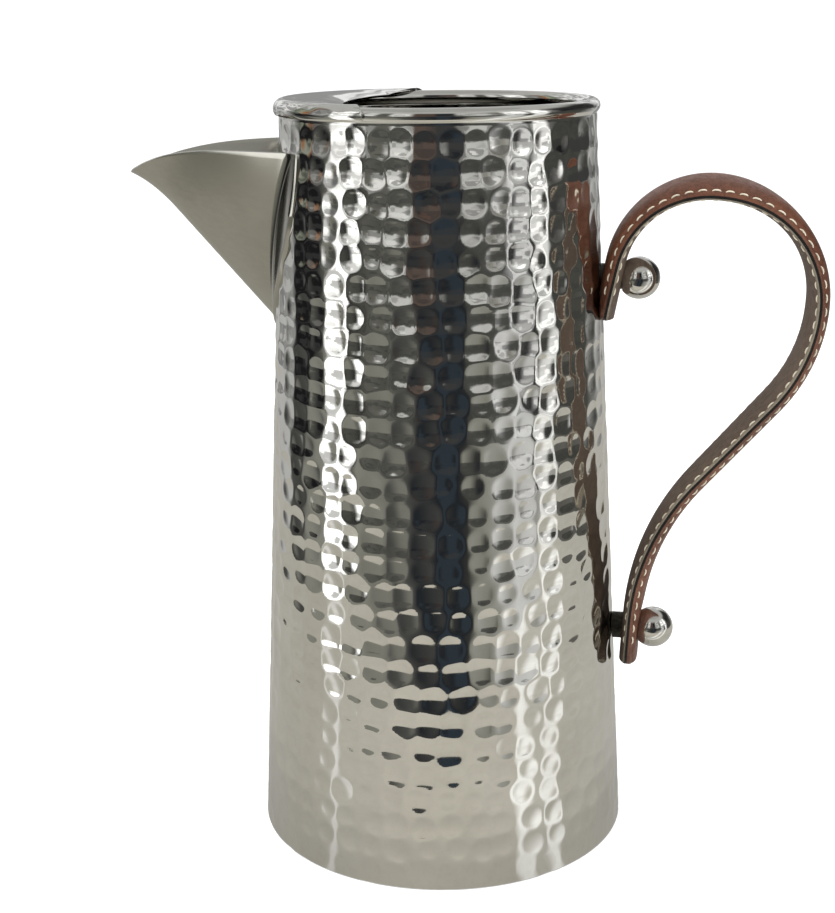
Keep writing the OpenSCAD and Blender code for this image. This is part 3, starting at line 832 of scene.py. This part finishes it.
floor.data.materials.append(new_finish("floor_paint", floor_sockets))
floor.visible_glossy = False


def glossy_only(piece):
    piece.visible_camera = piece.visible_diffuse = piece.visible_shadow = False
    piece.visible_transmission = piece.visible_volume_scatter = False
    piece.rotation_euler.z = -view_turn


def glow(name, colour_of):
    """A finish that only shines, with its colour worked out by colour_of."""
    material = bpy.data.materials.new(name)
    material.use_nodes = True
    wire = Wire(material.node_tree)
    shader = material.node_tree.nodes["Principled BSDF"]
    wire.fill(shader, {"Base Color": (0, 0, 0), "Specular IOR Level": 0.0, "Roughness": 1.0,
                       "Emission Color": colour_of(wire), "Emission Strength": 1.0})
    return material


def x_and_y(wire):
    return (wire.node("SeparateXYZ", {}, {"Vector": wire.place()}, axis) for axis in (0, 1))


def bands(wire, parts):
    """Colour by the angle at which the wall mirrors a spot, from (angle in degrees, colour) stops."""
    x, y = x_and_y(wire)
    from_axis = wire.math("SQRT", x * x + y * y) * 2
    mirrored = from_axis / (from_axis - base_r * MM)
    compass = wire.math("ARCTAN2", x, 0 - y) * mirrored / (2 * math.pi) + 0.5
    stops = [(angle / 360 + 0.5, colour) for angle, colour in parts]
    return wire.node("ValToRGB", {"stops": stops}, {"Fac": compass})


# what stands round the jug, by angle: the room low down, the floor beyond the table, the room
# above the sill, and the table's top
grey, white, black = (0.50, 0.50, 0.49), (1.7, 1.7, 1.68), (0.012, 0.012, 0.013)
olive, dusk = (0.26, 0.26, 0.225), (0.07, 0.07, 0.062)
navy, blue = (0.018, 0.021, 0.025), (0.030, 0.041, 0.053)
low_bands = [(-180, grey), (-132, grey), (-126, (0.3, 0.3, 0.29)), (-118, black), (-97, black),
             (-93, dusk), (-84, olive), (-82, white), (-66, white), (-64, black), (-59, dusk),
             (-36, (0.13, 0.13, 0.115)), (-20, (0.07, 0.07, 0.065)), (-15, (0.05, 0.035, 0.03)),
             (-11, navy), (-5, navy), (-2, blue), (6, blue), (9, navy),
             (15, navy), (19, dusk), (42, (0.13, 0.13, 0.12)), (49, (0.8, 0.8, 0.8)),
             (61, (0.8, 0.8, 0.8)), (64, black), (69, dusk), (71, white), (80, white),
             (84, dusk), (120, dusk), (150, grey)]
aisle_bands = [(-180, grey), (-130, grey), (-122, (0.08, 0.08, 0.075)),
               (-110, (0.06, 0.06, 0.055)), (-103, (0.2, 0.2, 0.18)),
               (-93, olive), (-84, olive), (-82, white), (-66, white), (-64, dusk), (-59, olive),
               (-33, (0.2, 0.2, 0.175)), (-26, (0.08, 0.08, 0.075)), (-11, (0.04, 0.042, 0.042)),
               (-3, navy), (0, blue), (7, blue), (10, navy), (17, (0.04, 0.04, 0.038)), (24, olive),
               (38, (0.36, 0.36, 0.33)), (49, (0.7, 0.7, 0.69)), (60, (0.62, 0.62, 0.61)),
               (64, (0.34, 0.34, 0.31)), (69, (0.42, 0.42, 0.40)), (71, (1.0, 1.0, 0.98)),
               (79, (0.8, 0.8, 0.78)), (85, (0.14, 0.135, 0.12)), (120, dusk), (150, grey)]
high_bands = [(-128, (0.9, 0.9, 0.9)), (-118, (0.16, 0.19, 0.13)),
              (-110, (0.40, 0.43, 0.35)), (-105, (0.42, 0.17, 0.06)),
              (-97, (0.35, 0.35, 0.33)), (-84, (0.5, 0.5, 0.5)), (-82, white), (-62, white),
              (-60, (0.16, 0.16, 0.14)), (-54, (0.9, 0.9, 0.87)), (-46, (0.9, 0.9, 0.87)),
              (-43, (0.15, 0.15, 0.13)), (-36, (0.15, 0.15, 0.13)), (-33, (1.1, 1.1, 1.07)),
              (-21, (1.0, 1.0, 0.96)), (-17, (0.11, 0.07, 0.055)),
              (-4, (0.11, 0.07, 0.055)), (-1, navy), (10, navy), (13, (0.65, 0.65, 0.62)),
              (34, (0.85, 0.85, 0.83)), (42, (0.35, 0.34, 0.30)), (46, (0.5, 0.5, 0.47)),
              (48, white), (63, white),
              (66, (0.3, 0.3, 0.27)), (70, white), (81, white), (84, (0.45, 0.44, 0.42)),
              (95, black), (142, (0.03, 0.03, 0.03)), (158, (0.95, 0.95, 0.95))]
table_bands = [(-180, (0.50, 0.49, 0.46)), (-100, (0.50, 0.48, 0.42)), (-84, (0.50, 0.48, 0.42)),
               (-79, (0.55, 0.53, 0.48)), (-76, (0.84, 0.83, 0.79)), (-73, (0.84, 0.83, 0.79)),
               (-70, (0.54, 0.52, 0.46)), (-40, (0.58, 0.55, 0.48)), (0, (0.62, 0.59, 0.51)),
               (44, (0.60, 0.57, 0.50)), (49, (1.2, 1.2, 1.16)), (54, (1.2, 1.2, 1.16)),
               (59, (0.62, 0.60, 0.54)), (67, (0.62, 0.60, 0.54)), (70, (1.2, 1.2, 1.16)),
               (75, (1.2, 1.2, 1.16)), (79, (0.56, 0.54, 0.48)),
               (180, (0.50, 0.49, 0.46))]
room_r, room_h = 0.9, 1.7
sill_h, lintel_h, cornice_h = (0.20, 0.24), (0.31, 0.35), (0.7, 1.1)


def room_colour(wire):
    height = wire.node("SeparateXYZ", {}, {"Vector": wire.place()}, 2)
    clutter = wire.node("TexVoronoi", {"distance": "CHEBYCHEV"},
                        {"Vector": wire.stretched(1, 1, 1.5), "Scale": 8.0}, 1)
    clutter = wire.node("SeparateColor", {}, {"Color": clutter}, 0).ramp(0.25, 0.75)
    ragged = height + wire.noise(9, 2) * 0.14 - 0.07
    high = bands(wire, high_bands)
    middle = wire.tint(0.3, high, (0.12, 0.12, 0.11))
    colour = wire.tint(ragged.ramp(*sill_h), bands(wire, low_bands), middle)
    colour = wire.tint(ragged.ramp(*lintel_h), colour, high)
    shade = wire.tint(clutter * 0.6, colour, (0.05, 0.05, 0.05))
    return wire.tint(height.ramp(*cornice_h), shade, (0.5, 0.5, 0.48))


room = stage_piece("room", [(room_r, z) for z in np.linspace(0, room_h, 12)])
room.data.materials.append(glow("room_light", room_colour))
ceiling = stage_piece("ceiling", [(r, room_h) for r in (axis_r, room_r)])
ceiling.data.materials.append(glow("ceiling_light", lambda wire: wire.tint(
    wire.noise(2, 1), (0.30, 0.30, 0.29), (0.5, 0.5, 0.48))))
table_front, table_left, table_right, table_edge = (base_r + 178) * MM, 0.40, 0.55, 0.002
# how far from the foot the painted shadow on the reflected table reaches, in millimetres
foot_shadow_w = 70


def table_colour(wire):
    x, y = x_and_y(wire)
    on_table = ((0 - y).ramp(table_front + table_edge, table_front - table_edge)
                * (0 - x).ramp(table_left + table_edge, table_left - table_edge)
                * x.ramp(table_right + table_edge, table_right - table_edge))
    grain = wire.noise(9, 3).ramp(0.3, 0.7)
    top = wire.tint(grain * 0.3, bands(wire, table_bands), (0.40, 0.38, 0.32))
    # painted shadow: the table top that reflections see is darkened towards the jug's foot, where the
    # jug's own shadow would fall
    painted_foot_shadow = wire.math("SQRT", x * x + y * y).ramp((base_r + foot_shadow_w) * MM, base_r * MM)
    top = wire.tint(painted_foot_shadow * 0.2, top, (0.0, 0.0, 0.0))
    return wire.tint(on_table, bands(wire, aisle_bands), top)


table_lift, table_rings = 0.0002, (room_r, 0.45, 0.15, axis_r)
table = stage_piece("table", [(r, table_lift) for r in table_rings])
table.data.materials.append(glow("table_light", table_colour))
for piece in (room, ceiling, table):
    glossy_only(piece)

world = bpy.data.worlds.new("world")
world.use_nodes = True
world.node_tree.nodes["Background"].inputs["Color"].default_value = (1, 1, 1, 1)
world.node_tree.nodes["Background"].inputs["Strength"].default_value = 0.75
bpy.context.scene.world = world
lamp_aim = Vector((0.02, 0, 0.12))
for name, place, size, power in (("key", (-0.9, -1.1, 1.5), 1.2, 16),
                                 ("fill", (1.2, -0.8, 1.0), 1.0, 7),
                                 ("top", (0.1, 0.1, 1.9), 1.4, 14)):
    lamp = bpy.data.objects.new(name, bpy.data.lights.new(name, "AREA"))
    lamp.data.energy, lamp.data.size = power, size
    lamp.location = place
    lamp.rotation_euler = (lamp_aim - lamp.location).to_track_quat("-Z", "Y").to_euler()
    lamp.visible_glossy = False
    bpy.context.scene.collection.objects.link(lamp)

bpy.context.view_layer.update()
